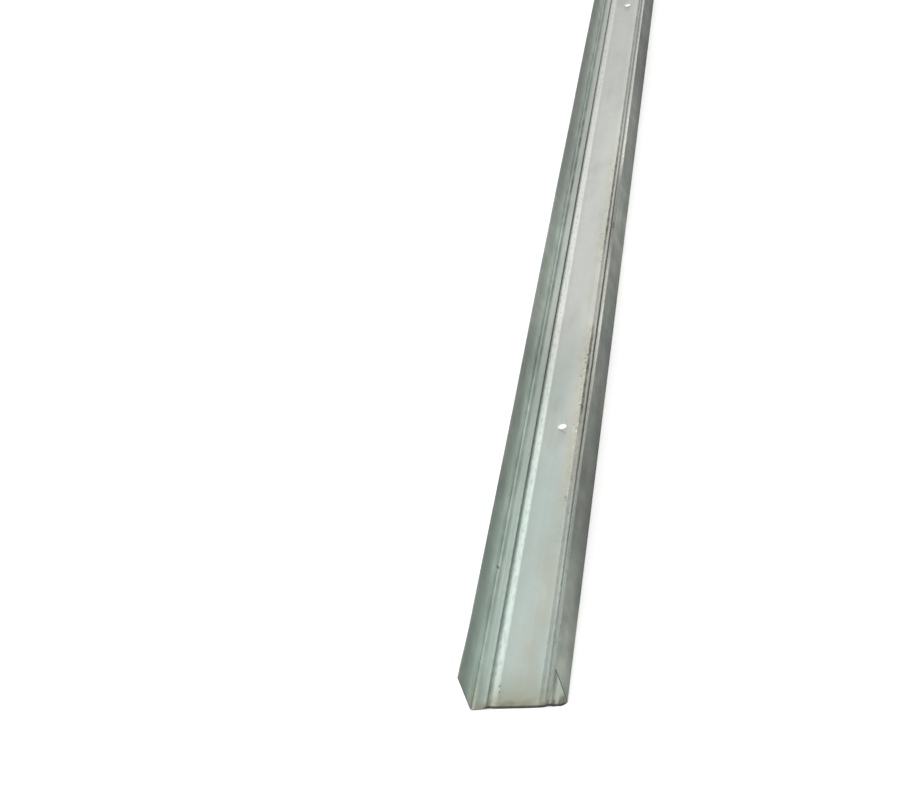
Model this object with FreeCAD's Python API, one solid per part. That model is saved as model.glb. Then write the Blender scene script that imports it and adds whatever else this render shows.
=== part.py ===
"""Drywall track: a U channel of galvanised sheet steel that holds the ends of 75 mm wall studs.

Millimetres. X runs across the channel, Y along it and Z up. The web lies on the floor with its
open side up, and the origin is at the middle of the web's underside.
"""
import FreeCAD
import Part
import math
import os

# Sheet and section
SHEET = 0.6                # thickness of the steel
CLEAR_WIDTH = 75.0         # between the flanges, the nominal width of the stud
CLEAR_HEIGHT = 35.0        # of a flange above the web's inner face
BEND_RADIUS = 2.0          # inside of the bend between web and flange
LENGTH = 3000.0            # as sold

# Two stiffening ribs, rolled up out of the web towards the inside of the channel
RIB_OFFSET = 23.25         # from the middle of the web to the middle of a rib
RIB_WIDTH = 11.8           # from foot to foot
RIB_HEIGHT = 1.5
RIB_CROWN_RADIUS = 5.0     # underside of the crown

# Fixing holes, punched in a row along the middle of the web
HOLE_DIAMETER = 8.0
HOLE_PITCH = 1000.0
FIRST_HOLE = 350.0         # from the near end to the first hole

HALF_WIDTH = CLEAR_WIDTH / 2 + SHEET
FLANGE_TOP = CLEAR_HEIGHT + SHEET
OUTER_BEND = BEND_RADIUS + SHEET

# Foot, crown and foot of a rib are tangent arcs that each turn the sheet by the slope's angle
RIB_SLOPE = 2 * math.atan2(RIB_HEIGHT, RIB_WIDTH / 2)
RIB_FOOT_RADIUS = RIB_WIDTH / 2 / math.sin(RIB_SLOPE) - RIB_CROWN_RADIUS


def section_point(x, z):
    """Point of the cross-section at the near end."""
    return FreeCAD.Vector(x, -LENGTH / 2, z)


def line(start, end):
    return Part.LineSegment(section_point(*start), section_point(*end)).toShape()


def arc(centre_x, centre_z, radius, start, end):
    """Arc between two angles in radians, counted from +X towards +Z."""
    angles = (start, (start + end) / 2, end)
    points = [section_point(centre_x + radius * math.cos(a), centre_z + radius * math.sin(a)) for a in angles]
    return Part.Arc(*points).toShape()


def rib_skin(middle, depth):
    """Edges of one rib's face that lies depth above the sheet's underside."""
    up, down = math.pi / 2, -math.pi / 2
    foot = RIB_FOOT_RADIUS - depth
    crown = RIB_CROWN_RADIUS + depth
    return [
        arc(middle - RIB_WIDTH / 2, RIB_FOOT_RADIUS, foot, down, down + RIB_SLOPE),
        arc(middle, RIB_HEIGHT - RIB_CROWN_RADIUS, crown, up + RIB_SLOPE, up - RIB_SLOPE),
        arc(middle + RIB_WIDTH / 2, RIB_FOOT_RADIUS, foot, down - RIB_SLOPE, down),
    ]


def channel_skin(depth):
    """Edges of the face of the sheet that lies depth inside its outer face, from flange to flange."""
    wall = HALF_WIDTH - depth
    bend_middle = HALF_WIDTH - OUTER_BEND
    near_foot = RIB_OFFSET - RIB_WIDTH / 2
    far_foot = RIB_OFFSET + RIB_WIDTH / 2
    return [
        line((-wall, FLANGE_TOP), (-wall, OUTER_BEND)),
        arc(-bend_middle, OUTER_BEND, OUTER_BEND - depth, -math.pi, -math.pi / 2),
        line((-bend_middle, depth), (-far_foot, depth)),
        *rib_skin(-RIB_OFFSET, depth),
        line((-near_foot, depth), (near_foot, depth)),
        *rib_skin(RIB_OFFSET, depth),
        line((far_foot, depth), (bend_middle, depth)),
        arc(bend_middle, OUTER_BEND, OUTER_BEND - depth, -math.pi / 2, 0),
        line((wall, OUTER_BEND), (wall, FLANGE_TOP)),
    ]


def section():
    """Face of the sheet's cross-section, closed by the two flange edges."""
    inner_wall = HALF_WIDTH - SHEET
    rims = [line((side * inner_wall, FLANGE_TOP), (side * HALF_WIDTH, FLANGE_TOP)) for side in (-1, 1)]
    outline = Part.__sortEdges__(channel_skin(0) + rims + channel_skin(SHEET))
    return Part.Face(Part.Wire(outline))


def hole_punches():
    """Cylinders that punch the fixing holes through the web."""
    count = 1 + int((LENGTH - FIRST_HOLE) // HOLE_PITCH)
    places = [FIRST_HOLE + index * HOLE_PITCH - LENGTH / 2 for index in range(count)]
    return [Part.makeCylinder(HOLE_DIAMETER / 2, 3 * SHEET, FreeCAD.Vector(0, y, -SHEET)) for y in places]


def drywall_track():
    """The track as one rolled, punched and cut piece of sheet."""
    channel = section().extrude(FreeCAD.Vector(0, LENGTH, 0))
    return channel.cut(hole_punches()).Solids[0]


os.makedirs("parts", exist_ok=True)
drywall_track().exportStep("parts/drywall_track.step")
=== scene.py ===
"""Drywall track: a U channel of galvanised sheet steel with two stiffening ribs rolled into its web.

The track lies open side up on a pale floor. All values are in metres: X runs across the track, Y along it
and Z up, and the origin is the middle of the web's underside. The end that the camera sees is at -Y.
"""
import bpy
import math
from types import SimpleNamespace
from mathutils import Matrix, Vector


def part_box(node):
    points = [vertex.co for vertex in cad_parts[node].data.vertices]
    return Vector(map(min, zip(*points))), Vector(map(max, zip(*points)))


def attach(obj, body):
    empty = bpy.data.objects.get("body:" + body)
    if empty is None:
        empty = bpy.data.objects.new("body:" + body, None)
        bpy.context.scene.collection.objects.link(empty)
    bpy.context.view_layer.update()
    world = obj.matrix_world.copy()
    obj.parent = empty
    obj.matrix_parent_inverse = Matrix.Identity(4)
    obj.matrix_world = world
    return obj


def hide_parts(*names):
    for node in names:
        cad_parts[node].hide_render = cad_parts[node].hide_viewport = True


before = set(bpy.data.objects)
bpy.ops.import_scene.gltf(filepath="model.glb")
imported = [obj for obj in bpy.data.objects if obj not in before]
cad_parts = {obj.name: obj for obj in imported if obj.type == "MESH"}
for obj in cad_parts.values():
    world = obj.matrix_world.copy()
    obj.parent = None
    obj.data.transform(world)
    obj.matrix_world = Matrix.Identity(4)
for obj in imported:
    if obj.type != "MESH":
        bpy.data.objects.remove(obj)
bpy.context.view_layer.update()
track_low, track_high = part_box("drywall_track")

# The track's outer sizes, taken from its CAD solid.
LENGTH = track_high[1] - track_low[1]
OUTER_WIDTH = track_high[0] - track_low[0]
OUTER_HEIGHT = track_high[2] - track_low[2]

# The rolled section.
SHEET = 0.0006
BEND_RADIUS = 0.002
RIB_OFFSET = 0.02325
RIB_WIDTH = 0.0118
RIB_HEIGHT = 0.0015
RIB_CROWN_RADIUS = 0.0050

# The punched fixing holes, counted from the near end, and the rolled-in edge that the punch leaves.
HOLE_DIAMETER = 0.008
FIRST_HOLE = 0.35
HOLE_PITCH = 1.0
HOLE_COUNT = 3
EDGE_WIDTH = 0.0011
EDGE_DEPTH = 0.00020
PUNCH_LENGTH = 0.01

# How far the thin sheet strays from the straight section, and how quickly along and across.
FLANGE_SWAY = 0.0007
SWAY_PACE = 1.9
SWAY_SEED = 4.0
SIDES_APART = 11.0
WEB_RIPPLE = 0.00015
RIPPLE_ACROSS = 26.0
RIPPLE_ALONG = 6.0
END_CRUSH = 0.45
CRUSH_LENGTH = 0.30

# The flanges lean to the inside, and both a little to the left. The left one's near corner flares out, and
# the right one bows in beside the near end: place along, half length and fade of that bow.
TOE_IN = 0.0008
LEFT_LEAN = 0.0003
CORNER_FLARE = 0.0012
FLARE_LENGTH = 0.060
FLANGE_BOW = 0.0006
BOW_ALONG = (0.21, 0.07, 0.13)

# The near cut of the web: it stands out towards the right, less again at the bend, and is puckered there.
CUT_SKEW = 0.0029
SKEW_FROM = -0.030
SKEW_TO = 0.022
SKEW_EASES = 0.0325
SKEW_LOST = 0.8
SKEW_LENGTH = 0.060
SKEW_HEIGHT = 0.008
PUCKER_HEIGHT = 0.00012
PUCKER_PLACE = 0.0270
PUCKER_PITCH = 0.0046
PUCKER_LENGTH = 0.014
PUCKER_TURNS = (0.8, 1.4)

# How finely the sheet is divided: points round the section, stations along the track, sides of a hole.
SECTION_POINTS = 640
STATIONS = 118
HOLE_SIDES = 56
SHARP_ANGLE = math.radians(40.0)

# The sizes that the track's node tree takes as its inputs.
TRACK_SIZES = {
    "Length": LENGTH,
    "Outer Width": OUTER_WIDTH,
    "Outer Height": OUTER_HEIGHT,
    "Sheet": SHEET,
    "Bend Radius": BEND_RADIUS,
    "Rib Offset": RIB_OFFSET,
    "Rib Width": RIB_WIDTH,
    "Rib Height": RIB_HEIGHT,
    "Rib Crown Radius": RIB_CROWN_RADIUS,
    "Hole Diameter": HOLE_DIAMETER,
    "First Hole": FIRST_HOLE,
    "Hole Pitch": HOLE_PITCH,
    "Hole Count": HOLE_COUNT,
    "Edge Width": EDGE_WIDTH,
    "Edge Depth": EDGE_DEPTH,
    "Flange Sway": FLANGE_SWAY,
    "Web Ripple": WEB_RIPPLE,
    "End Crush": END_CRUSH,
    "Crush Length": CRUSH_LENGTH,
    "Toe In": TOE_IN,
    "Left Lean": LEFT_LEAN,
    "Corner Flare": CORNER_FLARE,
    "Flare Length": FLARE_LENGTH,
    "Flange Bow": FLANGE_BOW,
    "Cut Skew": CUT_SKEW,
    "Skew From": SKEW_FROM,
    "Skew To": SKEW_TO,
    "Skew Length": SKEW_LENGTH,
    "Pucker Height": PUCKER_HEIGHT,
    "Pucker Place": PUCKER_PLACE,
    "Pucker Pitch": PUCKER_PITCH,
    "Pucker Length": PUCKER_LENGTH,
    "Seed": SWAY_SEED,
    "Section Points": SECTION_POINTS,
    "Stations": STATIONS,
}

# Colours of the zinc on each face, and of what has settled on it.
ZINC_GREEN = (0.476, 0.550, 0.511)
ZINC_NEUTRAL = (0.535, 0.551, 0.521)
ZINC_WARM = (0.546, 0.555, 0.490)
# The flanges' colours are the web's zinc painted darker, a painted shade; the foot's is a little lighter, a
# painted light.
SHADED_ZINC_INSIDE = (0.290, 0.358, 0.330)
SHADED_ZINC_INSIDE_OLIVE = (0.318, 0.354, 0.306)
SHADED_ZINC_FOOT = (0.314, 0.360, 0.345)
SHADED_ZINC_OUTSIDE = (0.360, 0.420, 0.368)
SHADED_ZINC_OUTSIDE_WARM = (0.382, 0.416, 0.350)
# A painted light on the walls of the punched holes.
HOLE_WALL_LIGHT = (0.85, 0.85, 0.83)
HAZE = (0.445, 0.450, 0.375)
STAIN = (0.40, 0.37, 0.26)
SMUDGE = (0.40, 0.395, 0.36)
# Grime and the painted shade on the ribs share this dark colour.
GRIME_AND_SHADE = (0.10, 0.10, 0.085)
DUST = (0.320, 0.328, 0.240)
DIRT = (0.125, 0.11, 0.075)
# A painted highlight on the crests of the puckered waves.
CREST_HIGHLIGHT = (0.54, 0.54, 0.50)
PALE_DUST = (0.540, 0.565, 0.478)
# A painted shadow along the cut ends.
CUT_SHADOW = (0.035, 0.035, 0.03)

# How strong each tone or mark is along the track, as pairs: distance from the near end, strength there.
WEB_LEFT = ((0.00, 0.98), (0.06, 1.06), (0.18, 1.00), (0.33, 0.97), (0.40, 0.89), (0.46, 0.89), (0.56, 1.03),
            (0.82, 1.06), (1.10, 1.00))
WEB_RIGHT = ((0.00, 0.96), (0.08, 0.91), (0.13, 1.03), (0.19, 0.90), (0.27, 0.92), (0.32, 1.00), (0.40, 1.00),
             (0.47, 0.92), (0.56, 1.06), (0.70, 1.00), (0.90, 1.06), (1.10, 0.93))
WARMTH = ((0.03, 0.00), (0.10, 0.22), (0.20, 0.22), (0.28, 0.80), (0.46, 0.80), (0.54, 0.60), (0.88, 0.65),
          (1.00, 0.20))
# Painted light on the web: the strip by the left bend, the powdery strip, the left rib's lit slope and flank,
# a line on the right rib's wall, and the right rib's crown.
STRIP_LIGHT = ((0.00, 0.10), (0.08, 0.36), (0.18, 0.42), (0.37, 0.12), (0.52, 0.08), (0.90, 0.22))
BLOOM_LIGHT = ((0.00, 0.50), (0.18, 0.62), (0.37, 0.32), (0.52, 0.20), (0.70, 0.45), (0.90, 0.36), (1.10, 0.60))
LIT_BAND = ((0.00, 0.06), (0.18, 0.14), (0.37, 0.14), (0.52, 0.06), (0.90, 0.02))
LEFT_WALL_LIGHT = ((0.00, 0.42), (0.20, 0.14), (0.37, 0.00), (0.75, 0.00), (0.90, 0.38), (1.10, 0.60))
RIGHT_WALL_LIGHT = ((0.00, 0.18),)
LIT_CROWN = ((0.44, 0.00), (0.52, 0.10), (0.60, 0.00), (0.84, 0.00), (0.90, 0.16), (1.10, 0.14))
PALE_LINE = ((0.00, 0.07),)
PALE_BAND = ((0.27, 0.00), (0.33, 0.08))
# Painted light and shade on the flanges: along the inside, at its foot and by the bend, along the outside and
# on its upper part.
INSIDE_LIGHT_AND_SHADE = ((0.00, 0.82), (0.06, 0.80), (0.18, 0.83), (0.37, 1.00), (0.52, 1.32), (0.70, 1.30),
               (0.90, 0.76), (1.20, 0.80))
INSIDE_FOOT_LIGHT = ((0.00, 0.74), (0.18, 0.74), (0.37, 1.22), (0.52, 0.98), (0.70, 1.12), (0.90, 1.05))
INSIDE_BEND_LIGHT_AND_SHADE = ((0.00, 1.50), (0.05, 1.10), (0.10, 0.85), (0.24, 0.45), (0.37, 0.05), (0.52, -0.35),
               (0.70, 0.05), (0.90, 0.40))
BEND_SHADE = ((0.00, 0.42), (0.045, 0.36), (0.10, 0.28), (0.18, 0.22), (0.37, 0.25), (0.52, 0.30),
              (0.70, 0.30), (0.90, 0.36))
OUTSIDE_LIGHT_AND_SHADE = ((0.00, 1.45), (0.06, 1.28), (0.18, 0.55), (0.37, 0.75), (0.52, 0.72), (0.70, 1.25),
                (0.90, 0.90), (1.10, 0.46), (1.35, 0.60), (1.75, 0.95))
OUTSIDE_TOP_LIGHT = ((0.00, 0.60), (0.16, 0.40), (0.30, 0.30))
FRINGE = ((0.15, 0.03), (0.20, 0.12), (0.26, 0.22), (0.33, 0.38), (0.50, 0.36), (0.53, 0.02), (0.62, 0.02),
          (0.66, 0.36), (0.78, 0.24), (0.86, 0.24), (0.94, 0.03))
SCUFF = ((0.00, 0.30), (0.33, 0.36), (0.38, 0.80), (0.48, 0.80), (0.53, 0.34), (0.64, 0.40), (0.70, 0.78),
         (0.85, 0.78), (0.92, 0.60), (1.10, 0.50))
# Painted shade at the ribs' feet, over the right rib's inner slope and on its outer slope by the near cut;
# the line beside the left bend and the crown are darkened.
LEFT_FOOT = ((0.00, 0.06), (0.20, 0.18), (0.37, 0.56), (0.52, 0.94), (0.70, 0.86), (0.90, 0.86), (1.10, 0.55))
RIGHT_FOOT = ((0.00, 0.30), (0.06, 0.36), (0.20, 0.26), (0.36, 0.92), (0.70, 0.96), (0.90, 0.42),
              (1.10, 0.00))
BEND_SIDE_DARK = ((0.00, 0.14), (0.06, 0.24), (0.18, 0.36), (0.37, 0.38), (0.52, 0.58), (0.70, 0.64), (0.90, 0.70),
          (1.10, 0.55))
SHOULDER = ((0.00, 0.10), (0.06, 0.20), (0.18, 0.06), (0.37, 0.33), (0.50, 0.00), (0.90, 0.00), (1.10, 0.08))
CROWN = ((0.00, 0.30), (0.06, 0.32), (0.18, 0.50), (0.37, 0.42), (0.52, 0.02), (0.60, 0.20), (0.70, 0.66),
         (0.80, 0.62), (0.88, 0.00))
FAR_SLOPE = ((0.00, 0.34), (0.03, 0.54), (0.09, 0.54), (0.18, 0.66), (0.24, 0.45), (0.30, 0.00))

# Where one face of the sheet gives way to the next, by distance from the middle, height or facing.
WEB_ENDS = (0.0346, 0.0370)
FLANGE_BEGINS = (0.005, 0.009)
BEND_BEGINS = (0.0350, 0.0360)
BEND_ENDS = (0.0016, 0.0036)
BEND_TOP = 2.5 * BEND_RADIUS
RIB_BAND = (RIB_OFFSET, 0.0040, 0.0025)
FACES_PART = (-0.002, 0.002)
FACING_UP = (0.2, 0.5)

# Random patterns on every face: scale across, along and up, and detail.
ROLL_LINES = (600.0, 2.0, 600.0, 3.0)
ROLL_BANDS = (170.0, 1.3, 170.0, 3.0)
SOFT_CLOUDS = (26.0, 7.0, 26.0, 4.0)
FLANGE_PATCHES = (3.0, 12.0, 42.0, 3.0)
FLANGE_FLECKS = (9.0, 75.0, 150.0, 3.0)
DAPPLE = (260.0, 170.0, 260.0, 1.0)
SPANGLE_SCALE = 90.0
FULL_RANGE = (0.30, 0.70)

# Random patterns on the web: scale across and along, layer, detail; the first four show between two values.
RIB_WEAR = (420.0, 120.0, 5.0, 3.0, 0.50, 0.64)
WEB_SMUDGES = (34.0, 10.0, 2.0, 4.0, 0.50, 0.72)
PALE_FLAKES = (380.0, 150.0, 9.0, 2.0, 0.57, 0.66)
HAZE_CLOUDS = (55.0, 30.0, 3.0, 3.0, 0.45, 0.58)
FRINGE_RAGS = (150.0, 60.0, 8.0, 7.0)
CUT_SMEAR = (120.0, 130.0, 4.0, 4.0)

# Random patterns that change only along the track: lane, scale, layer, detail.
SCUFF_JAG = (0.5, 110.0, 0.5, 4.0)
SCUFF_WEAR = (7.0, 60.0, 2.0, 3.0)
BLOTCHES = (11.0, 26.0, 6.0, 5.0)
BLOTCH_RANGE = (0.32, 0.68)

# How much rolling lines, bands, clouds and spangle change the tone; on the flanges streaks, flecks, patches.
GRAIN_SWINGS = (0.03, 0.05, 0.10, 0.015)
INSIDE_SWINGS = (0.08, 0.06, 0.15)
OUTSIDE_SWINGS = (0.18, 0.06, 0.16)
RIB_WEAR_TONE = -0.16

# The flanges: bands by height, and streaks on the slant. The upper inside face gets painted shade, the rim a
# painted highlight, the foot painted light and the sheared rim's top painted shade.
STREAK_SLANT = 0.8
STREAK_ALONG = 27.0
STREAK_UP = 9.0
STREAK_DETAIL = 3.0
UPPER_FACE = (0.008, 0.026)
UPPER_SHADE = -0.16
RIM = (0.0325, 0.0352)
RIM_HIGHLIGHT = 0.16
RIM_FACES_UP = (0.5, 0.8)
SHEARED_RIM_SHADE = -0.45
FOOT = (0.004, 0.016)
FOOT_TINT = 0.7
BY_BEND = (0.002, 0.008)
DUSTY_FOOT = (0.010, 0.070)
DUSTY_TINT = 0.6

# The web's zinc: where it turns neutral along the track and warm across it, its smudges, its bloom with
# painted light, and its crown, which gets painted light and darkening.
NEUTRAL_BEGINS = (0.20, 0.58)
NEUTRAL_WANDER = 0.3
WARM_BEGINS = (0.000, 0.009)
SIDES_MEET = (-0.010, 0.010)
SMUDGE_STRENGTH = 0.40
BLOOM_BEGINS = (-0.0320, -0.0275)
BLOOM_ENDS = (-0.0269, -0.0257)
CROWN_BEGINS = (0.0212, 0.0230)

# Paler bands along the web: place across with half width and fade, and strength along the track. The strip by
# the left bend, the left rib's flank and lit slope and the line on the right rib's wall are painted light.
PALE_BANDS = (
    ((-0.0322, 0.0012, 0.0012), STRIP_LIGHT),
    ((-0.0244, 0.0004, 0.0013), LEFT_WALL_LIGHT),
    ((-0.0193, 0.0007, 0.0012), LIT_BAND),
    ((0.0128, 0.0012, 0.0020), PALE_BAND),
    ((0.0148, 0.0003, 0.0008), PALE_LINE),
    ((0.0189, 0.0003, 0.0009), RIGHT_WALL_LIGHT),
)
FLAKED_BAND = (0.0148, 0.0010, 0.0022)

# The haze by the near end: place with half size and fade, and how far it leans to the left towards the cut.
HAZE_ACROSS = (0.008, 0.005, 0.009)
HAZE_ALONG = (0.105, 0.060, 0.060)
HAZE_LEANS = (0.050, 0.140)
HAZE_LEAN = 0.010
HAZE_LEAST = 0.4
HAZE_STRENGTH = 0.46

# The ragged stain beside the scuffed line.
FRINGE_BEGINS = (0.002, 0.0150)
FRINGE_ENDS = (0.0158, 0.0172)
FRINGE_SPREAD = 0.24
FRINGE_SHOWS = (0.52, 0.76)

# Dark lines along the web: place across with half width and fade; the ribs' feet are painted shade. Where the
# painted shade on the right rib begins, ends.
BEND_SIDE_DARK_LINE = (-0.0343, 0.0004, 0.0024)
LEFT_FOOT_LINE = (-0.0255, 0.0004, 0.0008)
SCUFF_LINE = (0.0164, 0.0008, 0.0011)
RIGHT_FOOT_LINE = (0.0211, 0.0004, 0.0009)
SCUFF_WAVER = 0.0012
SCUFF_SWING = 0.20
BEND_SIDE_DARK_SWING = 0.26
SHOULDER_BEGINS = (0.0155, 0.0168)
FAR_SLOPE_BEGINS = (0.0228, 0.0246)
FAR_SLOPE_SWING = 0.20
RIB_ENDS = (0.0258, 0.0295)

# Dust and dirt by the cut, with its painted shadow and the painted highlights and shade on the puckered
# waves: how far each reaches from it, where it lies across the web, and how strong it is.
DUST_ALONG = (-0.010, 0.052)
DUST_LEAST = 0.45
DUST_SMEAR = 0.75
DUST_IN_BEND = 0.35
SWEPT_STRIP = (-0.0300, -0.0180)
SWEPT_LEAST = 0.40
DRIFT_ALONG = (0.002, 0.012)
DRIFT_ACROSS = (-0.003, 0.006, 0.012)
DRIFT_STRENGTH = 0.40
DIRT_ALONG = (0.0, 0.012)
DIRT_SHOWS = (0.35, 0.70)
DIRT_STRENGTH = 0.45
HEAP_ALONG = (0.004, 0.034)
HEAP_ACROSS = (-0.0265, -0.0215)
HEAP_HEIGHT = (0.003, 0.009)
HEAP_SHOWS = (0.15, 0.55)
HEAP_STRENGTH = 0.90
SOIL_ALONG = (0.003, 0.012)
SOIL_ACROSS = (0.0290, 0.0340)
SOIL_STRENGTH = 0.62
TROUGH_ALONG = (0.003, 0.010)
TROUGH_SHOWS = (0.0, 0.9)
TROUGH_STRENGTH = 0.75
CREST_ALONG = (0.006, 0.016)
CREST_SHOWS = (-0.3, 0.9)
CREST_STRENGTH = 0.50
PUCKERED_CORNER = (PUCKER_PLACE, 1.2 * PUCKER_PITCH, 0.4 * PUCKER_PITCH)
EDGE_ALONG = (0.0010, 0.0028)
EDGE_ACROSS = (-0.0300, -0.0240)
EDGE_STRENGTH = 0.92
SHORN_FACES = (0.6, 0.8)
SHORN_REACH = 2 * CUT_SKEW
SHORN_STRENGTH = 0.85

# Specks in the stain: their scales, size, share, and how they crowd beside the right rib.
SPECK_SCALES = (170.0, 330.0)
SPECK_SIZE = (0.08, 0.26)
SPECK_SHARE = (0.56, 0.64)
CROWD_ACROSS = (0.0142, 0.0025, 0.005)
CROWD_STRENGTH = 1.8
CROWD_LEAST = 0.05

# Single spots of dirt: place along and place across, each with half size and fade, and strength.
DIRT_SPOTS = (
    ((0.0161, 0.0005, 0.0008), (-0.0173, 0.0003, 0.0006), 0.70),
    ((0.0222, 0.0005, 0.0008), (-0.0178, 0.0003, 0.0006), 0.70),
    ((0.1600, 0.0009, 0.0012), (-0.0370, 0.0006, 0.0010), 0.70),
    ((0.2440, 0.0012, 0.0016), (0.0131, 0.0005, 0.0009), 0.42),
    ((0.7120, 0.0040, 0.0060), (0.0235, 0.0006, 0.0014), 0.70),
    ((0.9450, 0.0020, 0.0030), (-0.0342, 0.0006, 0.0012), 0.70),
)
SPOT_HEIGHT = 0.004

# The smear in front of the near hole: its place, its slant as cosine and sine, its sizes and strength.
SMEAR_ACROSS = 0.0013
SMEAR_ALONG = FIRST_HOLE - 0.0085
SMEAR_COSINE = 0.73
SMEAR_SINE = 0.68
SMEAR_WIDTH = (0.0, 0.0004, 0.0014)
SMEAR_LENGTH = (0.0, 0.0030, 0.0035)
SMEAR_STRENGTH = 0.22

# The walls of the punched holes, painted light.
WALL_FACES = (0.3, 0.6)
HOLE_STRIP = (0.006, 0.008)
CLEAR_OF_CUT = 0.01

# Relief and roughness of the sheet, and how much less metallic dirt and powdery zinc make it.
LINE_RELIEF = 0.3
ROUGH_RELIEF = 12.0
DIRT_RELIEF = 0.8
BUMP_STRENGTH = 0.5
BUMP_HEIGHT = 0.00004
ROUGHNESS = 0.22
GRAIN_ROUGHNESS = 0.08
BEND_ROUGHNESS = 0.28
SOIL_ROUGHNESS = 0.22
DIRT_DULLS = 0.6
POWDER_DULLS = 0.7

# The camera, as the photograph was taken.
CAMERA_PLACE = (0.3102, -2.3208, 0.8404)
CAMERA_TURN = (55.760, 15.506, 8.913)
CAMERA_LENS = 63.53
SENSOR_WIDTH = 36.0
NEAREST_SEEN = 0.01
FARTHEST_SEEN = 500.0

# The studio: its floor, the strengths of its light, and the directions between which each light begins.
FLOOR_SIZE = 240.0
FLOOR_COLOUR = (0.92, 0.92, 0.92, 1.0)
FLOOR_ROUGHNESS = 0.9
FLOOR_GLOW = 0.30
WHITE = (1.0, 1.0, 1.0, 1.0)
ROOM_LIGHT = 1.02
WALL_LIFT = 0.48
SIDE_LIGHT = 0.85
TOP_LIFT = 0.25
GROUND_LIGHT = 0.38
WALL_ACROSS = (-0.22, 0.05)
WALL_BEHIND = (0.2, 0.5)
WALL_UP = (0.26, 0.52)
FAR_RIGHT = (0.50, 0.70)
OVERHEAD = (0.80, 0.95)
HORIZON = (0.0, 0.50)


def wire(tree, value, socket):
    """Give a socket a link where the value is another node's output, and otherwise a set value."""
    if isinstance(value, bpy.types.NodeSocket):
        tree.links.new(value, socket)
    else:
        socket.default_value = value


def node_of(tree, kind, inputs, **settings):
    """One node of a kind, with its settings made and its inputs linked or set."""
    node = tree.nodes.new(kind)
    for name, setting in settings.items():
        setattr(node, name, setting)
    for name, value in inputs.items():
        wire(tree, value, node.inputs[name])
    return node


def result_of(tree, kind, inputs, **settings):
    """The first output of such a node."""
    return node_of(tree, kind, inputs, **settings).outputs[0]


def calc(tree, operation, *values):
    """One Math node."""
    return result_of(tree, "ShaderNodeMath", dict(enumerate(values)), operation=operation)


def plus(tree, first, second):
    """The sum of two numbers."""
    return calc(tree, "ADD", first, second)


def minus(tree, first, second):
    """The first number less the second."""
    return calc(tree, "SUBTRACT", first, second)


def times(tree, first, *others):
    """Several numbers multiplied."""
    for other in others:
        first = calc(tree, "MULTIPLY", first, other)
    return first


def raised(tree, base, share, amount):
    """The base, raised by the amount where the share is 1."""
    return calc(tree, "MULTIPLY_ADD", share, amount, base)


def greater(tree, first, second):
    """The greater of two numbers."""
    return calc(tree, "MAXIMUM", first, second)


def pick(tree, switch, when_false, when_true):
    """One of two numbers, chosen by a switch of 0 or 1."""
    return raised(tree, when_false, switch, minus(tree, when_true, when_false))


def vector(tree, x, y, z):
    """Three numbers as one vector."""
    return result_of(tree, "ShaderNodeCombineXYZ", {0: x, 1: y, 2: z})


def split(tree, value):
    """The three numbers of a vector."""
    return node_of(tree, "ShaderNodeSeparateXYZ", {0: value}).outputs


def rising(tree, value, start, end):
    """0 before start, 1 after end, and a smooth rise between them."""
    inputs = {"Value": value, "From Min": start, "From Max": end}
    return result_of(tree, "ShaderNodeMapRange", inputs, interpolation_type="SMOOTHSTEP")


def falling(tree, value, start, end):
    """1 before start, 0 after end, and a smooth fall between them."""
    return minus(tree, 1.0, rising(tree, value, start, end))


def around(tree, value, middle, reach, fade):
    """1 within reach of the middle, fading to 0 outside it."""
    distance = calc(tree, "ABSOLUTE", minus(tree, value, middle))
    return falling(tree, distance, reach, reach + fade)


def socket_kind(value):
    """The kind of input that takes a value: a material, a count or a size."""
    if isinstance(value, bpy.types.Material):
        return "NodeSocketMaterial"
    if isinstance(value, int):
        return "NodeSocketInt"
    return "NodeSocketFloat"


def named_inputs(tree, sizes):
    """Add the tree's own inputs, and return their sockets and their identifiers by name."""
    tree.interface.new_socket(name="Geometry", in_out="INPUT", socket_type="NodeSocketGeometry")
    identifiers = {}
    for name, value in sizes.items():
        socket = tree.interface.new_socket(name=name, in_out="INPUT", socket_type=socket_kind(value))
        identifiers[name] = socket.identifier
    tree.interface.new_socket(name="Geometry", in_out="OUTPUT", socket_type="NodeSocketGeometry")
    group_input = tree.nodes.new("NodeGroupInput")
    return {name: group_input.outputs[name] for name in sizes}, identifiers


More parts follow.
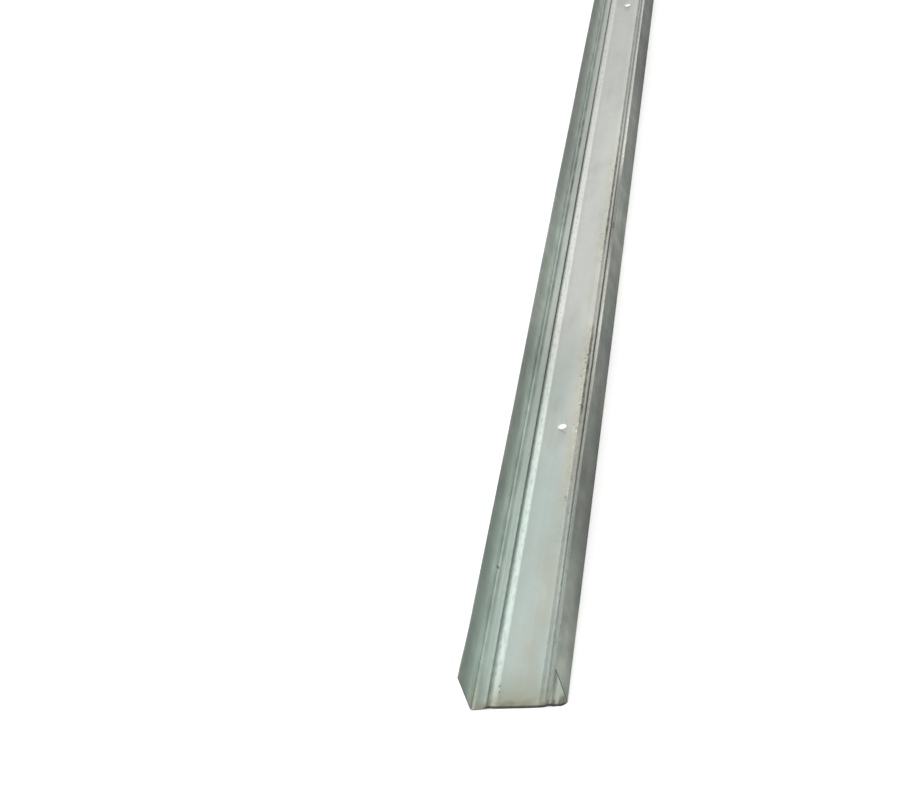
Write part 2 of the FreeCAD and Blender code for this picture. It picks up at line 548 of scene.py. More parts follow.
def rolled_section(tree, size):
    """The sheet's closed outline: the outer skin from right rim to left, and the inner skin back again."""
    index = result_of(tree, "GeometryNodeInputIndex", {})
    skin_points = calc(tree, "DIVIDE", size["Section Points"], 2.0)
    inside = calc(tree, "GREATER_THAN", index, minus(tree, skin_points, 0.5))
    step = minus(tree, index, times(tree, inside, skin_points))
    share = calc(tree, "DIVIDE", step, minus(tree, skin_points, 1.0))
    outward = raised(tree, 1.0, share, -2.0)
    run = times(tree, outward, raised(tree, 1.0, inside, -2.0))

    # Lengths along the middle of the sheet, from the middle of the web outwards.
    half_sheet = times(tree, size["Sheet"], 0.5)
    middle_bend = plus(tree, size["Bend Radius"], half_sheet)
    outer_bend = plus(tree, size["Bend Radius"], size["Sheet"])
    flat_web = minus(tree, times(tree, size["Outer Width"], 0.5), outer_bend)
    bend_length = times(tree, middle_bend, math.pi / 2)
    flat_flange = minus(tree, size["Outer Height"], outer_bend)
    sheet_run = plus(tree, plus(tree, flat_web, bend_length), flat_flange)
    developed = times(tree, run, sheet_run)
    distance = calc(tree, "ABSOLUTE", developed)
    side = calc(tree, "SIGN", developed)

    # The bend turns the sheet from the web up into the flange.
    past_web = minus(tree, distance, flat_web)
    turn = calc(tree, "DIVIDE", past_web, middle_bend)
    turn = calc(tree, "MINIMUM", greater(tree, turn, 0.0), math.pi / 2)
    on_web = calc(tree, "MINIMUM", distance, flat_web)
    on_flange = greater(tree, minus(tree, past_web, bend_length), 0.0)
    sine = calc(tree, "SINE", turn)
    cosine = calc(tree, "COSINE", turn)
    across = raised(tree, on_web, middle_bend, sine)
    bend_rise = times(tree, middle_bend, minus(tree, 1.0, cosine))
    height = plus(tree, plus(tree, half_sheet, bend_rise), on_flange)

    # A rib is a crown arc between two foot arcs that meet it without a corner.
    half_rib = times(tree, size["Rib Width"], 0.5)
    slope = times(tree, calc(tree, "ARCTAN2", size["Rib Height"], half_rib), 2.0)
    foot_radius = calc(tree, "DIVIDE", half_rib, calc(tree, "SINE", slope))
    foot_radius = minus(tree, foot_radius, size["Rib Crown Radius"])
    middle_crown = plus(tree, size["Rib Crown Radius"], half_sheet)
    middle_foot = minus(tree, foot_radius, half_sheet)
    from_rib = minus(tree, distance, size["Rib Offset"])
    from_crown = calc(tree, "ABSOLUTE", from_rib)
    from_foot = greater(tree, minus(tree, half_rib, from_crown), 0.0)
    crown_reach = times(tree, middle_crown, calc(tree, "SINE", slope))
    on_crown = calc(tree, "LESS_THAN", from_crown, crown_reach)
    crown_share = calc(tree, "MINIMUM", calc(tree, "DIVIDE", from_crown, middle_crown), 1.0)
    foot_share = calc(tree, "MINIMUM", calc(tree, "DIVIDE", from_foot, middle_foot), 1.0)
    tilt = calc(tree, "ARCSINE", pick(tree, on_crown, foot_share, crown_share))
    tilt_cosine = calc(tree, "COSINE", tilt)
    crown_base = minus(tree, size["Rib Height"], middle_crown)
    crown_rise = raised(tree, crown_base, middle_crown, tilt_cosine)
    foot_rise = times(tree, middle_foot, minus(tree, 1.0, tilt_cosine))
    rise = pick(tree, on_crown, foot_rise, crown_rise)

    # Each skin lies half a sheet to its side of the middle.
    lean = times(tree, calc(tree, "SIGN", from_rib), calc(tree, "SINE", tilt))
    normal_across = minus(tree, lean, sine)
    normal_up = times(tree, tilt_cosine, cosine)
    offset = times(tree, minus(tree, inside, 0.5), size["Sheet"])
    skin_across = times(tree, side, raised(tree, across, offset, normal_across))
    skin_up = raised(tree, plus(tree, height, rise), offset, normal_up)

    circle = result_of(tree, "GeometryNodeCurvePrimitiveCircle", {"Resolution": size["Section Points"]})
    # The sweep along +Y lays the outline's second axis downwards.
    place = vector(tree, skin_across, times(tree, skin_up, -1.0), 0.0)
    outline = result_of(tree, "GeometryNodeSetPosition", {"Geometry": circle, "Position": place})
    return keep_value(tree, outline, "rise", rise)


def keep_value(tree, geometry, name, value):
    """Store one number per point under a name that later nodes can read."""
    inputs = {"Geometry": geometry, "Name": name, "Value": value}
    return result_of(tree, "GeometryNodeStoreNamedAttribute", inputs, data_type="FLOAT", domain="POINT")


def kept_value(tree, name):
    """Read a stored number back."""
    return result_of(tree, "GeometryNodeInputNamedAttribute", {"Name": name}, data_type="FLOAT")


def length_path(tree, size):
    """The line along the track, with its stations closer together towards both cut ends."""
    half_length = times(tree, size["Length"], 0.5)
    start = vector(tree, 0.0, times(tree, half_length, -1.0), 0.0)
    end = vector(tree, 0.0, half_length, 0.0)
    line = result_of(tree, "GeometryNodeCurvePrimitiveLine", {"Start": start, "End": end})
    stations = result_of(tree, "GeometryNodeResampleCurve", {"Curve": line, "Count": size["Stations"]})
    share = result_of(tree, "GeometryNodeSplineParameter", {})
    angle = raised(tree, -math.pi / 2, share, math.pi)
    place = vector(tree, 0.0, times(tree, calc(tree, "SINE", angle), half_length), 0.0)
    return result_of(tree, "GeometryNodeSetPosition", {"Geometry": stations, "Position": place})


def skew_share(tree, across, start, end):
    """How far the near cut stands out, from 0 to 1: more towards the right, less again at the right bend."""
    growing = rising(tree, across, start, end)
    at_bend = rising(tree, across, SKEW_EASES, OUTER_WIDTH / 2)
    return times(tree, growing, raised(tree, 1.0, at_bend, -SKEW_LOST))


def strayed_sheet(tree, size, sheet):
    """Let the flanges lean and sway, the web ripple, the ribs run out at the ends and the near cut skew."""
    across, along, height = split(tree, result_of(tree, "GeometryNodeInputPosition", {}))
    side = calc(tree, "SIGN", across)
    upright = calc(tree, "DIVIDE", height, size["Outer Height"])
    half_length = times(tree, size["Length"], 0.5)
    from_near = plus(tree, along, half_length)

    lane = raised(tree, size["Seed"], side, SIDES_APART)
    sway = {"W": raised(tree, lane, along, SWAY_PACE), "Scale": 1.0, "Detail": 1.0}
    sway = result_of(tree, "ShaderNodeTexNoise", sway, noise_dimensions="1D")
    sway = times(tree, raised(tree, -1.0, sway, 2.0), calc(tree, "POWER", upright, 2.0), size["Flange Sway"])
    flare = times(tree, falling(tree, from_near, 0.0, size["Flare Length"]), size["Corner Flare"])
    bow = times(tree, around(tree, from_near, *BOW_ALONG), size["Flange Bow"])
    leftward = pick(tree, calc(tree, "GREATER_THAN", across, 0.0), flare, bow)
    leftward = raised(tree, plus(tree, leftward, size["Left Lean"]), side, size["Toe In"])
    sway = minus(tree, sway, times(tree, upright, leftward))

    place = vector(tree, times(tree, across, RIPPLE_ACROSS), times(tree, along, RIPPLE_ALONG), 0.0)
    ripple = {"Vector": place, "Scale": 1.0, "Detail": 1.0}
    ripple = result_of(tree, "ShaderNodeTexNoise", ripple, noise_dimensions="2D")
    ripple = times(tree, ripple, size["Web Ripple"])

    from_cut = minus(tree, half_length, calc(tree, "ABSOLUTE", along))
    near_cut = falling(tree, from_cut, 0.0, size["Crush Length"])
    crush = times(tree, near_cut, size["End Crush"], kept_value(tree, "rise"))

    # The web's near cut stands out more and more towards the right, and the flanges' cuts don't.
    skewed = skew_share(tree, across, size["Skew From"], size["Skew To"])
    low = falling(tree, height, size["Sheet"], SKEW_HEIGHT)
    by_cut = falling(tree, from_near, 0.0, size["Skew Length"])
    skew = times(tree, skewed, low, by_cut, size["Cut Skew"])

    # Small waves across the near cut, beside its right corner.
    turns = calc(tree, "DIVIDE", minus(tree, across, size["Pucker Place"]), size["Pucker Pitch"])
    wave = calc(tree, "COSINE", raised(tree, math.pi, turns, 2 * math.pi))
    wave = times(tree, plus(tree, wave, 1.0), falling(tree, calc(tree, "ABSOLUTE", turns), *PUCKER_TURNS))
    pucker = times(tree, wave, falling(tree, from_near, 0.0, size["Pucker Length"]), size["Pucker Height"])

    rise = plus(tree, minus(tree, ripple, crush), pucker)
    offset = vector(tree, sway, times(tree, skew, -1.0), rise)
    return result_of(tree, "GeometryNodeSetPosition", {"Geometry": sheet, "Offset": offset})


def hole_row(tree, size, shape):
    """Set one shape at every fixing hole along the middle of the web."""
    start = minus(tree, size["First Hole"], times(tree, size["Length"], 0.5))
    line = {
        "Count": size["Hole Count"],
        "Start Location": vector(tree, 0.0, start, size["Sheet"]),
        "Offset": vector(tree, 0.0, size["Hole Pitch"], 0.0),
    }
    row = result_of(tree, "GeometryNodeMeshLine", line)
    shapes = result_of(tree, "GeometryNodeInstanceOnPoints", {"Points": row, "Instance": shape})
    return result_of(tree, "GeometryNodeRealizeInstances", {"Geometry": shapes})


def punched_sheet(tree, size, sheet):
    """Punch each fixing hole, with the shallow rolled-in edge that the punch leaves on its side."""
    hole_radius = times(tree, size["Hole Diameter"], 0.5)
    # The cone starts as far above the web as it ends below it, so its side crosses the web at half its width.
    cone = {
        "Vertices": HOLE_SIDES,
        "Radius Top": raised(tree, hole_radius, size["Edge Width"], 2.0),
        "Radius Bottom": hole_radius,
        "Depth": times(tree, size["Edge Depth"], 2.0),
    }
    rolled_edge = result_of(tree, "GeometryNodeMeshCone", cone)
    down = vector(tree, 0.0, 0.0, times(tree, size["Edge Depth"], -1.0))
    sunk = result_of(tree, "GeometryNodeTransform", {"Geometry": rolled_edge, "Translation": down})
    cylinder = {"Vertices": HOLE_SIDES, "Radius": hole_radius, "Depth": PUNCH_LENGTH}
    punch = result_of(tree, "GeometryNodeMeshCylinder", cylinder)
    for tool in (sunk, punch):
        meshes = {"Mesh 1": sheet, "Mesh 2": hole_row(tree, size, tool)}
        sheet = result_of(tree, "GeometryNodeMeshBoolean", meshes, operation="DIFFERENCE", solver="MANIFOLD")
    return sheet


def track_tree(sizes):
    """The whole rule of the track: the section swept along its length, strayed, punched and finished."""
    tree = bpy.data.node_groups.new("rolled_track", "GeometryNodeTree")
    size, identifiers = named_inputs(tree, sizes)
    sweep = {
        "Curve": length_path(tree, size),
        "Profile Curve": rolled_section(tree, size),
        "Fill Caps": True,
    }
    straight = result_of(tree, "GeometryNodeCurveToMesh", sweep)
    sheet = punched_sheet(tree, size, strayed_sheet(tree, size, straight))

    smooth = result_of(tree, "GeometryNodeSetShadeSmooth", {"Geometry": sheet}, domain="FACE")
    angle = result_of(tree, "GeometryNodeInputMeshEdgeAngle", {})
    corners = {
        "Geometry": smooth,
        "Selection": calc(tree, "GREATER_THAN", angle, SHARP_ANGLE),
        "Shade Smooth": False,
    }
    sharp = result_of(tree, "GeometryNodeSetShadeSmooth", corners, domain="EDGE")
    plain = result_of(tree, "GeometryNodeRemoveAttribute", {"Geometry": sharp, "Name": "rise"})
    finished = result_of(tree, "GeometryNodeSetMaterial", {"Geometry": plain, "Material": size["Finish"]})
    node_of(tree, "NodeGroupOutput", {"Geometry": finished})
    return tree, identifiers


def noise(tree, x, y, z, detail):
    """Soft random values from 0 to 1 over three scaled coordinates."""
    inputs = {"Vector": vector(tree, x, y, z), "Scale": 1.0, "Detail": detail}
    return result_of(tree, "ShaderNodeTexNoise", inputs)


def face_cloud(tree, places, across, along, up, detail):
    """Soft random values on every face, over places across, along and up."""
    coordinates = [times(tree, place, scale) for place, scale in zip(places, (across, along, up))]
    return noise(tree, *coordinates, detail)


def web_cloud(tree, at, across, along, layer, detail):
    """Soft random values on the web, where each layer is another pattern."""
    return noise(tree, times(tree, at.across, across), times(tree, at.along, along), layer, detail)


def web_patches(tree, at, across, along, layer, detail, start, end):
    """Soft random patches on the web, 0 outside them and 1 inside."""
    return rising(tree, web_cloud(tree, at, across, along, layer, detail), start, end)


def line_cloud(tree, at, lane, scale, layer, detail):
    """Soft random values that change only along the track."""
    return noise(tree, lane, times(tree, at.along, scale), layer, detail)


def swing(tree, value, amount):
    """Turn a value from 0 to 1 into a factor about 1."""
    return raised(tree, 1.0 - amount, value, 2.0 * amount)


def mottled(tree, tone, patterns, amounts):
    """Vary a tone by several random patterns."""
    for pattern, amount in zip(patterns, amounts):
        tone = times(tree, tone, swing(tree, pattern, amount))
    return tone


def blend_colour(tree, factor, first, second):
    """Mix two colours, which are the node's inputs 6 and 7 and its output 2."""
    inputs = {0: factor}
    for place, colour in ((6, first), (7, second)):
        inputs[place] = colour if isinstance(colour, bpy.types.NodeSocket) else (*colour, 1.0)
    return node_of(tree, "ShaderNodeMix", inputs, data_type="RGBA").outputs[2]


def shade_colour(tree, colour, factor):
    """Multiply a colour by a number."""
    return result_of(tree, "ShaderNodeVectorMath", {0: colour, "Scale": factor}, operation="SCALE")


def places_on_track(tree):
    """Where a spot of the surface lies: its distances on the track, and which face it belongs to."""
    place = tree.nodes.new("ShaderNodeTexCoord")
    across, along, height = split(tree, place.outputs["Object"])
    facing = split(tree, place.outputs["Normal"])
    sideways = calc(tree, "ABSOLUTE", across)
    web = times(tree, falling(tree, sideways, *WEB_ENDS), falling(tree, height, *FLANGE_BEGINS))
    on_bend = around(tree, sideways, OUTER_WIDTH / 2, BEND_RADIUS, BEND_RADIUS)
    outside = rising(tree, times(tree, facing[0], across), *FACES_PART)
    in_bend = times(tree, rising(tree, sideways, *BEND_BEGINS), falling(tree, height, *BEND_ENDS))
    from_near = plus(tree, along, LENGTH / 2)
    # The near cut of the web follows its skew.
    from_skew = raised(tree, from_near, skew_share(tree, across, SKEW_FROM, SKEW_TO), CUT_SKEW)
    return SimpleNamespace(
        point=place.outputs["Object"],
        places=(across, along, height),
        across=across,
        along=along,
        height=height,
        sideways=sideways,
        facing=facing,
        from_near=from_near,
        from_cut=calc(tree, "MINIMUM", from_skew, minus(tree, LENGTH / 2, along)),
        web=web,
        web_top=times(tree, web, rising(tree, facing[2], *FACING_UP)),
        on_rib=around(tree, sideways, *RIB_BAND),
        on_bend=times(tree, on_bend, calc(tree, "LESS_THAN", height, BEND_TOP)),
        outside=outside,
        in_bend=times(tree, in_bend, minus(tree, 1.0, outside)),
    )


def over_length(tree, at, stops):
    """A strength along the track that changes smoothly from each stop to the next."""
    result = stops[0][1]
    for (place, strength), (next_place, next_strength) in zip(stops, stops[1:]):
        step = rising(tree, at.from_near, place, next_place)
        result = raised(tree, result, step, next_strength - strength)
    return result


def rolled_grain(tree, at):
    """Lines left by the rolls, soft clouds and faint spangle in the zinc, and the wear on the ribs."""
    lines = face_cloud(tree, at.places, *ROLL_LINES)
    bands = face_cloud(tree, at.places, *ROLL_BANDS)
    clouds = face_cloud(tree, at.places, *SOFT_CLOUDS)
    spangle = node_of(tree, "ShaderNodeTexVoronoi", {"Scale": SPANGLE_SCALE, "Vector": at.point})
    grain = split(tree, spangle.outputs["Color"])[0]
    worn = times(tree, web_patches(tree, at, *RIB_WEAR), at.on_rib)
    mottle = raised(tree, 1.0, worn, RIB_WEAR_TONE)
    mottle = mottled(tree, mottle, (lines, bands, clouds, grain), GRAIN_SWINGS)
    return SimpleNamespace(lines=lines, clouds=clouds, mottle=mottle)


def flange_zinc(tree, at):
    """The flanges: zinc painted darker than the web as painted shade, cool inside, paler at the foot as
    painted light, warmer outside, streaked on the slant, with painted shade on the sheared rim.
    """
    slant_along = times(tree, raised(tree, at.along, at.height, STREAK_SLANT), STREAK_ALONG)
    slant_up = times(tree, raised(tree, at.height, at.along, -STREAK_SLANT), STREAK_UP)
    streaks = noise(tree, 0.0, slant_along, slant_up, STREAK_DETAIL)
    flecks = face_cloud(tree, at.places, *FLANGE_FLECKS)
    patches = face_cloud(tree, (at.sideways, at.along, at.height), *FLANGE_PATCHES)
    # These three are spread over the whole range from 0 to 1.
    patterns = [rising(tree, pattern, *FULL_RANGE) for pattern in (streaks, flecks, patches)]
    patches = patterns[-1]
    upper = rising(tree, at.height, *UPPER_FACE)
    rim = rising(tree, at.height, *RIM)
    foot = falling(tree, at.height, *FOOT)
    dusty = times(tree, foot, falling(tree, at.from_near, *DUSTY_FOOT))

    tint = blend_colour(tree, patches, SHADED_ZINC_INSIDE, SHADED_ZINC_INSIDE_OLIVE)
    tint = blend_colour(tree, times(tree, foot, FOOT_TINT), tint, SHADED_ZINC_FOOT)
    tint = blend_colour(tree, times(tree, dusty, DUSTY_TINT), tint, SHADED_ZINC_INSIDE_OLIVE)
    # Painted light and shade inside: along the track, at the foot and by the bend, darker above, lighter on
    # the rim.
    shade = raised(tree, over_length(tree, at, INSIDE_LIGHT_AND_SHADE), foot, over_length(tree, at, INSIDE_FOOT_LIGHT))
    shade = raised(tree, shade, falling(tree, at.height, *BY_BEND), over_length(tree, at, INSIDE_BEND_LIGHT_AND_SHADE))
    shade = raised(tree, shade, upper, UPPER_SHADE)
    shade = raised(tree, shade, rim, RIM_HIGHLIGHT)
    inside = shade_colour(tree, tint, mottled(tree, shade, patterns, INSIDE_SWINGS))

    tint = blend_colour(tree, patches, SHADED_ZINC_OUTSIDE, SHADED_ZINC_OUTSIDE_WARM)
    # Painted light and shade outside: along the track, and lighter on the upper part.
    shade = raised(tree, over_length(tree, at, OUTSIDE_LIGHT_AND_SHADE), upper, over_length(tree, at, OUTSIDE_TOP_LIGHT))
    outside = shade_colour(tree, tint, mottled(tree, shade, patterns, OUTSIDE_SWINGS))

    # The sheared rim's top face is painted darker than both, a painted shade.
    sheared = times(tree, rising(tree, at.facing[2], *RIM_FACES_UP), rim)
    faces = blend_colour(tree, at.outside, inside, outside)
    return shade_colour(tree, faces, raised(tree, 1.0, sheared, SHEARED_RIM_SHADE))


def bloom_and_painted_light(tree, at):
    """Powdery zinc that dulls the strip between the left bend and the left rib; the strip is painted lighter
    there too, a painted light.
    """
    strip = times(tree, rising(tree, at.across, *BLOOM_BEGINS), falling(tree, at.across, *BLOOM_ENDS))
    return times(tree, strip, at.web_top)


def web_zinc(tree, at, grain, bloom_and_light):
    """The web: greener near the cut, neutral further along, warmer right of its middle, and banded, most
    bands painted light.
    """
    wander = raised(tree, -NEUTRAL_WANDER / 2, grain.clouds, NEUTRAL_WANDER)
    neutral = rising(tree, plus(tree, at.from_near, wander), *NEUTRAL_BEGINS)
    zinc = blend_colour(tree, neutral, ZINC_GREEN, ZINC_NEUTRAL)
    warm = times(tree, rising(tree, at.across, *WARM_BEGINS), over_length(tree, at, WARMTH))
    zinc = blend_colour(tree, warm, zinc, ZINC_WARM)
    smudges = times(tree, web_patches(tree, at, *WEB_SMUDGES), at.web_top, SMUDGE_STRENGTH)
    zinc = blend_colour(tree, smudges, zinc, SMUDGE)

    side = rising(tree, at.across, *SIDES_MEET)
    shade = pick(tree, side, over_length(tree, at, WEB_LEFT), over_length(tree, at, WEB_RIGHT))
    # Painted light on the powdery strip, and below it on the strip by the left bend, the rib walls and the
    # right rib's crown.
    shade = raised(tree, shade, bloom_and_light, over_length(tree, at, BLOOM_LIGHT))
    flakes = times(tree, web_patches(tree, at, *PALE_FLAKES), around(tree, at.across, *FLAKED_BAND))
    marks = [(around(tree, at.across, *band), strength) for band, strength in PALE_BANDS]
    marks += [(rising(tree, at.across, *CROWN_BEGINS), LIT_CROWN), (flakes, FRINGE)]
    for mark, strength in marks:
        shade = raised(tree, shade, times(tree, mark, at.web_top), over_length(tree, at, strength))
    return shade_colour(tree, zinc, shade)


def web_stain(tree, at):
    """Yellowish haze by the near end, and a ragged fringe of stain beside the scuffed line."""
    leaning = raised(tree, at.across, falling(tree, at.from_near, *HAZE_LEANS), HAZE_LEAN)
    haze = raised(tree, HAZE_LEAST, web_patches(tree, at, *HAZE_CLOUDS), 1.0 - HAZE_LEAST)
    haze = times(tree, haze, around(tree, leaning, *HAZE_ACROSS), around(tree, at.from_near, *HAZE_ALONG))
    inward = rising(tree, at.across, *FRINGE_BEGINS)
    spread = raised(tree, web_cloud(tree, at, *FRINGE_RAGS), inward, FRINGE_SPREAD)
    fringe = times(tree, inward, rising(tree, spread, *FRINGE_SHOWS), falling(tree, at.across, *FRINGE_ENDS))
    return SimpleNamespace(
        haze=times(tree, haze, HAZE_STRENGTH, at.web_top),
        fringe=times(tree, fringe, over_length(tree, at, FRINGE), at.web_top),
    )


def grime_and_painted_shade(tree, at):
    """Dark marks: the scuffed line, painted shade at the ribs' feet and on the right rib's slopes, a dark
    line beside the left bend, and darkening on the right rib's crown.
    """
    jag = minus(tree, 0.5, line_cloud(tree, at, *SCUFF_JAG))
    wavering = raised(tree, at.across, jag, SCUFF_WAVER)
    worn = rising(tree, line_cloud(tree, at, *SCUFF_WEAR), *FULL_RANGE)
    blotched = rising(tree, line_cloud(tree, at, *BLOTCHES), *BLOTCH_RANGE)
    scuffed = times(tree, around(tree, wavering, *SCUFF_LINE), swing(tree, worn, SCUFF_SWING))
    bend_side_dark = times(tree, around(tree, at.across, *BEND_SIDE_DARK_LINE), swing(tree, blotched, BEND_SIDE_DARK_SWING))
    short_of_bend = falling(tree, at.across, *RIB_ENDS)
    shoulder = times(tree, rising(tree, at.across, *SHOULDER_BEGINS), short_of_bend)
    crown = times(tree, rising(tree, at.across, *CROWN_BEGINS), short_of_bend)
    far_slope = times(tree, rising(tree, at.across, *FAR_SLOPE_BEGINS), short_of_bend)
    # Besides the scuffed line, the line beside the left bend and the crown, these marks are painted shade.
    marks = (
        (scuffed, SCUFF),
        (around(tree, at.across, *LEFT_FOOT_LINE), LEFT_FOOT),
        (around(tree, wavering, *RIGHT_FOOT_LINE), RIGHT_FOOT),
        (bend_side_dark, BEND_SIDE_DARK),
        (shoulder, SHOULDER),
        (crown, CROWN),
        (times(tree, far_slope, swing(tree, blotched, FAR_SLOPE_SWING)), FAR_SLOPE),
    )
    grime_and_shade = 0.0
    for mark, strength in marks:
        grime_and_shade = greater(tree, grime_and_shade, times(tree, mark, over_length(tree, at, strength)))
    return times(tree, grime_and_shade, at.web_top)


def cut_dirt(tree, at):
    """Olive dust at the cut ends with a painted shadow along them, pale dust in the near left corner, soil in
    the right, and painted highlights and shade on the puckered waves.
    """
    smear = web_cloud(tree, at, *CUT_SMEAR)
    drift = falling(tree, at.from_cut, *DRIFT_ALONG)
    swept = greater(tree, rising(tree, at.across, *SWEPT_STRIP), drift)
    dust = times(tree, falling(tree, at.from_cut, *DUST_ALONG), raised(tree, DUST_LEAST, smear, DUST_SMEAR))
    dust = times(tree, dust, raised(tree, SWEPT_LEAST, swept, 1.0 - SWEPT_LEAST))
    dust = raised(tree, dust, times(tree, drift, around(tree, at.across, *DRIFT_ACROSS)), DRIFT_STRENGTH)
    lying = greater(tree, at.web_top, times(tree, at.in_bend, DUST_IN_BEND))
    dirt = times(tree, falling(tree, at.from_cut, *DIRT_ALONG), rising(tree, smear, *DIRT_SHOWS))

    # The waves of the puckered corner get painted highlights on their crests and painted shade between them.
    turns = calc(tree, "DIVIDE", minus(tree, at.across, PUCKER_PLACE), PUCKER_PITCH)
    wave = calc(tree, "COSINE", times(tree, turns, 2 * math.pi))
    corner = around(tree, at.across, *PUCKERED_CORNER)
    corner = times(tree, corner, calc(tree, "LESS_THAN", at.from_near, PUCKER_LENGTH))
    trough_shade = times(tree, corner, rising(tree, wave, *TROUGH_SHOWS), falling(tree, at.from_cut, *TROUGH_ALONG))
    crest_highlight = rising(tree, times(tree, wave, -1.0), *CREST_SHOWS)
    crest_highlight = times(tree, corner, crest_highlight, falling(tree, at.from_cut, *CREST_ALONG))

    # Pale dust lies in the left corner.
    heap = times(tree, falling(tree, at.from_near, *HEAP_ALONG), falling(tree, at.across, *HEAP_ACROSS))
    heap = times(tree, heap, falling(tree, at.height, *HEAP_HEIGHT), minus(tree, 1.0, at.outside))
    heap = times(tree, heap, rising(tree, smear, *HEAP_SHOWS))

    soil = times(tree, falling(tree, at.from_near, *SOIL_ALONG), rising(tree, at.across, *SOIL_ACROSS))
    # The troughs' painted shade is kept together with the soil.
    soil = greater(tree, times(tree, soil, SOIL_STRENGTH), times(tree, trough_shade, TROUGH_STRENGTH))

    # A painted shadow along the web's cut and on the shorn faces.
    edge = times(tree, falling(tree, at.from_cut, *EDGE_ALONG), rising(tree, at.across, *EDGE_ACROSS), at.web)
    shorn = rising(tree, calc(tree, "ABSOLUTE", at.facing[1]), *SHORN_FACES)
    shorn = times(tree, shorn, calc(tree, "LESS_THAN", at.from_cut, SHORN_REACH), SHORN_STRENGTH)
    return SimpleNamespace(
        dust=times(tree, dust, lying),
        dirt=times(tree, dirt, DIRT_STRENGTH, at.web_top),
        soil=times(tree, soil, lying),
        crest_highlight=times(tree, crest_highlight, CREST_STRENGTH, at.web_top),
        heap=times(tree, heap, HEAP_STRENGTH),
        edge=times(tree, greater(tree, edge, shorn), EDGE_STRENGTH),
    )


def dirt_spots(tree, at):
    """Brown specks beside the right rib, single spots on web and ribs, and a smear at the near hole."""
    specks = 0.0
    for scale in SPECK_SCALES:
        dots = node_of(tree, "ShaderNodeTexVoronoi", {"Scale": scale, "Vector": at.point})
        dot = falling(tree, dots.outputs["Distance"], *SPECK_SIZE)
        chosen = rising(tree, split(tree, dots.outputs["Color"])[1], *SPECK_SHARE)
        specks = greater(tree, specks, times(tree, dot, chosen))
    crowd = times(tree, around(tree, at.across, *CROWD_ACROSS), over_length(tree, at, FRINGE))
    specks = times(tree, specks, raised(tree, CROWD_LEAST, crowd, CROWD_STRENGTH))

    spots = 0.0
    for along, across, strength in DIRT_SPOTS:
        spot = times(tree, around(tree, at.from_near, *along), around(tree, at.across, *across))
        spots = raised(tree, spots, spot, strength)
    spots = times(tree, spots, calc(tree, "LESS_THAN", at.height, SPOT_HEIGHT))

    across = minus(tree, at.across, SMEAR_ACROSS)
    along = minus(tree, at.from_near, SMEAR_ALONG)
    side = raised(tree, times(tree, along, SMEAR_SINE), across, SMEAR_COSINE)
    run = raised(tree, times(tree, along, -SMEAR_COSINE), across, SMEAR_SINE)
    smear = times(tree, around(tree, side, *SMEAR_WIDTH), around(tree, run, *SMEAR_LENGTH))
    smear = times(tree, smear, at.web_top, SMEAR_STRENGTH)
    return greater(tree, specks, greater(tree, spots, smear))


def painted_hole_light(tree, at):
    """The wall of a punched hole, painted near-white and not metallic: a painted light."""
    upright = falling(tree, calc(tree, "ABSOLUTE", at.facing[2]), *WALL_FACES)
    by_hole = falling(tree, at.sideways, *HOLE_STRIP)
    return times(tree, upright, by_hole, calc(tree, "GREATER_THAN", at.from_cut, CLEAR_OF_CUT))


def rolled_relief(tree, at, grain, dirt):
    """Bump of the rolling lines, rougher on the ribs and bends, with the dirt standing on it."""
    dapple = face_cloud(tree, at.places, *DAPPLE)
    rough_roll = times(tree, greater(tree, at.on_rib, at.on_bend), ROUGH_RELIEF)
    relief = raised(tree, times(tree, grain.lines, LINE_RELIEF), dapple, rough_roll)
    relief = raised(tree, relief, dirt, DIRT_RELIEF)
    inputs = {"Strength": BUMP_STRENGTH, "Distance": BUMP_HEIGHT, "Height": relief}
    return result_of(tree, "ShaderNodeBump", inputs)


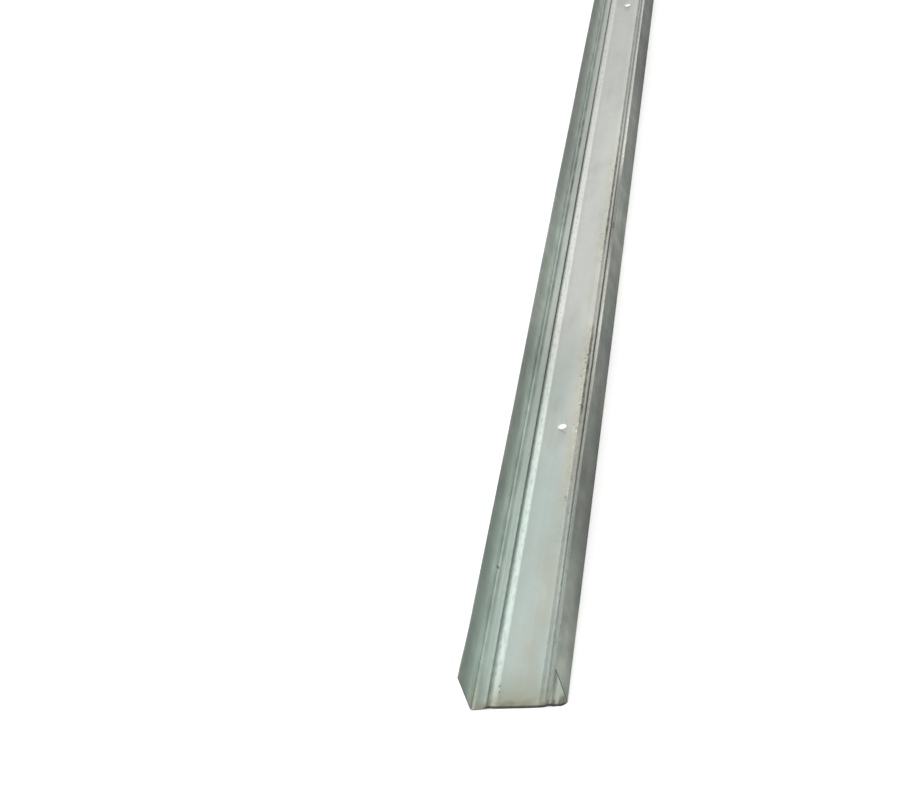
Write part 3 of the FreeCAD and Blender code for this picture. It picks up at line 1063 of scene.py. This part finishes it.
def galvanised_steel():
    """Zinc-coated sheet: rolling lines and soft clouds, with the dirt and scuffs of storage on the web, and
    painted light and shade on the flanges, the web's strips and ribs, the cut and the holes.
    """
    material = bpy.data.materials.new("galvanised_steel")
    material.use_nodes = True
    tree = material.node_tree
    shader = tree.nodes["Principled BSDF"]
    at = places_on_track(tree)
    grain = rolled_grain(tree, at)
    stain = web_stain(tree, at)
    bloom_and_light = bloom_and_painted_light(tree, at)
    cut = cut_dirt(tree, at)
    # Grime and painted shade on the ribs, with the soil and the troughs' painted shade by the cut.
    grime_and_shade = greater(tree, grime_and_painted_shade(tree, at), cut.soil)
    dirt = greater(tree, cut.dirt, dirt_spots(tree, at))
    hole_wall_light = painted_hole_light(tree, at)

    zinc = blend_colour(tree, at.web, flange_zinc(tree, at), web_zinc(tree, at, grain, bloom_and_light))
    bend_shade = times(tree, at.in_bend, over_length(tree, at, BEND_SHADE))
    zinc = shade_colour(tree, zinc, minus(tree, grain.mottle, bend_shade))
    layers = (
        (stain.haze, HAZE),
        (stain.fringe, STAIN),
        (cut.dust, DUST),
        (cut.crest_highlight, CREST_HIGHLIGHT),
        (cut.heap, PALE_DUST),
        (grime_and_shade, GRIME_AND_SHADE),
        (dirt, DIRT),
        (cut.edge, CUT_SHADOW),
        (hole_wall_light, HOLE_WALL_LIGHT),
    )
    for cover, colour in layers:
        zinc = blend_colour(tree, cover, zinc, colour)
    tree.links.new(zinc, shader.inputs["Base Color"])

    soiled_and_shaded = greater(tree, greater(tree, grime_and_shade, dirt), stain.fringe)
    rough = raised(tree, ROUGHNESS, plus(tree, grain.lines, grain.clouds), GRAIN_ROUGHNESS)
    rough = raised(tree, rough, at.on_bend, BEND_ROUGHNESS)
    tree.links.new(raised(tree, rough, soiled_and_shaded, SOIL_ROUGHNESS), shader.inputs["Roughness"])
    dull = greater(tree, times(tree, greater(tree, dirt, cut.edge), DIRT_DULLS), hole_wall_light)
    dull = greater(tree, dull, times(tree, greater(tree, bloom_and_light, cut.crest_highlight), POWDER_DULLS))
    tree.links.new(minus(tree, 1.0, dull), shader.inputs["Metallic"])
    tree.links.new(rolled_relief(tree, at, grain, dirt), shader.inputs["Normal"])
    return material


def drywall_track(finish):
    """Grow the track from its tree, and keep the result as one plain mesh."""
    sizes = {**TRACK_SIZES, "Finish": finish}
    tree, identifiers = track_tree(sizes)
    seed = bpy.data.objects.new("track_seed", bpy.data.meshes.new("track_seed"))
    bpy.context.scene.collection.objects.link(seed)
    modifier = seed.modifiers.new("rolled_track", "NODES")
    modifier.node_group = tree
    for name, value in sizes.items():
        modifier[identifiers[name]] = value
    evaluated = seed.evaluated_get(bpy.context.evaluated_depsgraph_get())
    mesh = bpy.data.meshes.new_from_object(evaluated)
    mesh.name = "track"
    bpy.data.objects.remove(seed)
    track = bpy.data.objects.new("track", mesh)
    bpy.context.scene.collection.objects.link(track)
    return track


def pale_floor():
    """A wide level floor, nearly white."""
    half = FLOOR_SIZE / 2
    mesh = bpy.data.meshes.new("floor")
    corners = [(-half, -half, 0.0), (half, -half, 0.0), (half, half, 0.0), (-half, half, 0.0)]
    mesh.from_pydata(corners, [], [(0, 1, 2, 3)])
    material = bpy.data.materials.new("pale_floor")
    material.use_nodes = True
    shader = material.node_tree.nodes["Principled BSDF"]
    shader.inputs["Base Color"].default_value = FLOOR_COLOUR
    shader.inputs["Roughness"].default_value = FLOOR_ROUGHNESS
    shader.inputs["Specular IOR Level"].default_value = 0.0
    shader.inputs["Emission Color"].default_value = WHITE
    shader.inputs["Emission Strength"].default_value = FLOOR_GLOW
    mesh.materials.append(material)
    floor = bpy.data.objects.new("floor", mesh)
    floor.visible_glossy = False
    bpy.context.scene.collection.objects.link(floor)
    return floor


def studio_light():
    """A soft white room: lighter above and on a wall behind on the right, darker far right and below."""
    world = bpy.data.worlds.new("studio")
    world.use_nodes = True
    tree = world.node_tree
    background = tree.nodes["Background"]
    across, along, up = split(tree, tree.nodes.new("ShaderNodeTexCoord").outputs["Generated"])
    wall = times(tree, rising(tree, across, *WALL_ACROSS), rising(tree, along, *WALL_BEHIND))
    wall = times(tree, wall, rising(tree, up, *WALL_UP))
    room = raised(tree, ROOM_LIGHT, wall, WALL_LIFT)
    room = pick(tree, rising(tree, across, *FAR_RIGHT), room, SIDE_LIGHT)
    room = raised(tree, room, rising(tree, up, *OVERHEAD), TOP_LIFT)
    light = pick(tree, rising(tree, up, *HORIZON), GROUND_LIGHT, room)
    tree.links.new(light, background.inputs["Strength"])
    background.inputs["Color"].default_value = WHITE
    bpy.context.scene.world = world


def photo_camera():
    """The camera at the photograph's viewing angle."""
    data = bpy.data.cameras.new("camera")
    data.sensor_fit = "HORIZONTAL"
    data.sensor_width = SENSOR_WIDTH
    data.lens = CAMERA_LENS
    data.clip_start = NEAREST_SEEN
    data.clip_end = FARTHEST_SEEN
    camera = bpy.data.objects.new("camera", data)
    camera.location = CAMERA_PLACE
    camera.rotation_euler = [math.radians(angle) for angle in CAMERA_TURN]
    bpy.context.scene.collection.objects.link(camera)
    bpy.context.scene.camera = camera


photo_camera()
studio_light()
floor = pale_floor()
track = drywall_track(galvanised_steel())
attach(track, "root")
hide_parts("drywall_track")
bpy.context.scene.view_settings.view_transform = "Standard"
